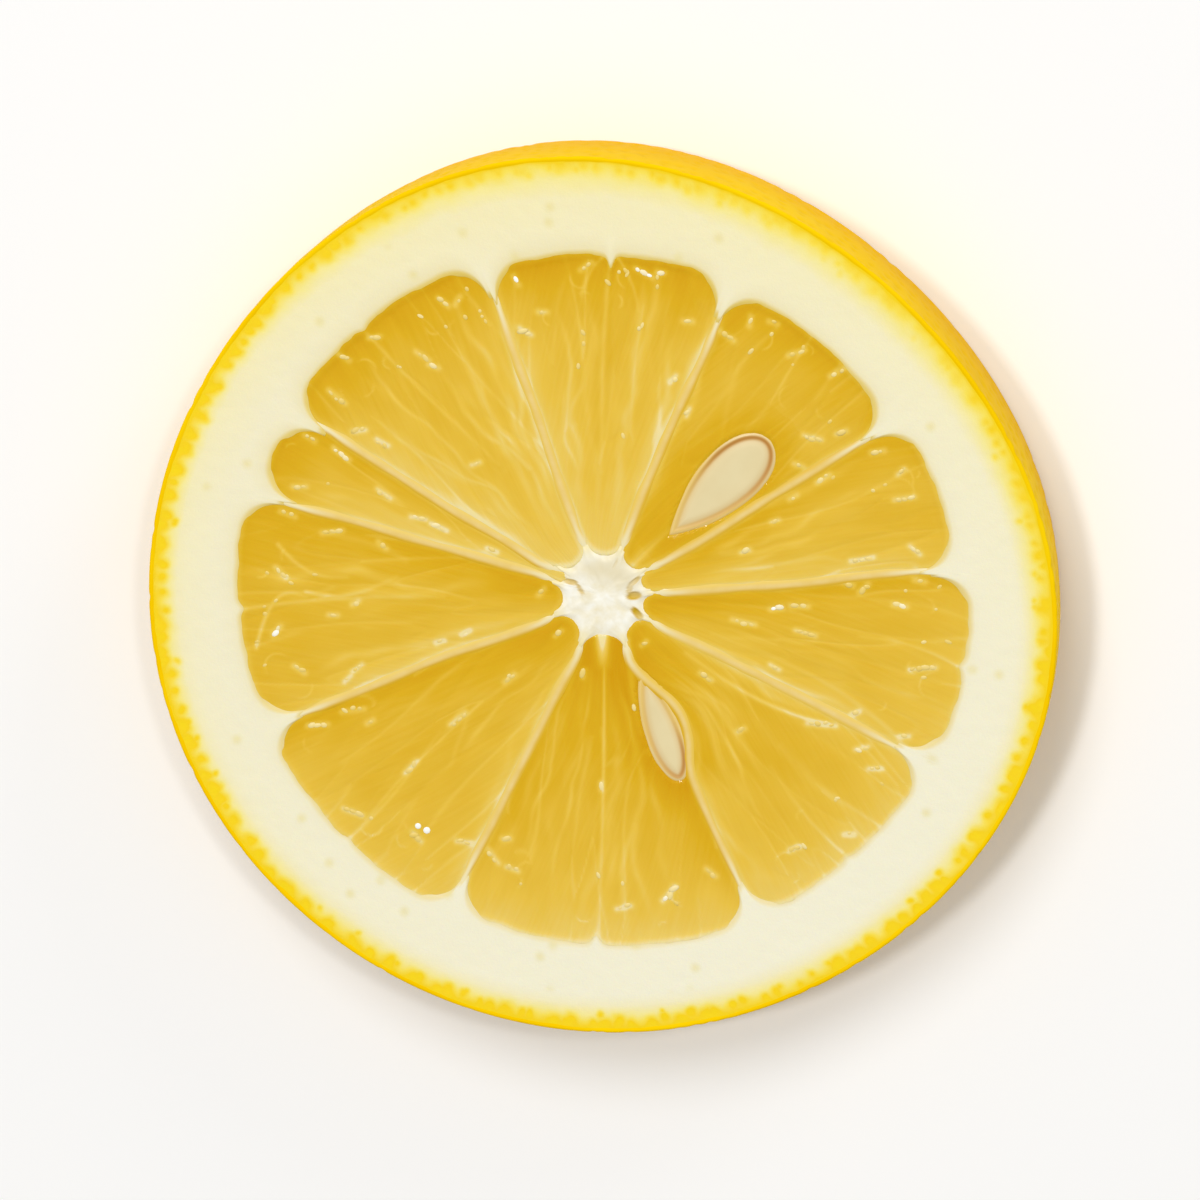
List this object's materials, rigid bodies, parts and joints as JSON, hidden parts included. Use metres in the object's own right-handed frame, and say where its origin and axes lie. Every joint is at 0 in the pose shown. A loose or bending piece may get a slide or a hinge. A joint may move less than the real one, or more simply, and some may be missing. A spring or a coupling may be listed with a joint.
{
  "type": "lemon slice",
  "caption": "Round slice across a lemon with yellow rind, pale pith and a fan of pulp segments; lies flat as food or garnish.",
  "frame": {"origin": "under the middle of the slice, on the surface it lies on", "axes": "+Z out of the upper, wider cut face; +X and +Y across the slice"},
  "size_m": [0.0636, 0.063, 0.0075],
  "materials": {
    "lemon": "wet",
    "rind_and_pith": "satin",
    "segment_walls": "wet",
    "pulp": "wet",
    "seed": "satin",
    "juice": "wet"
  },
  "bodies": {
    "root": {"lemon_slice": "lemon"}
  },
  "joints": []
}
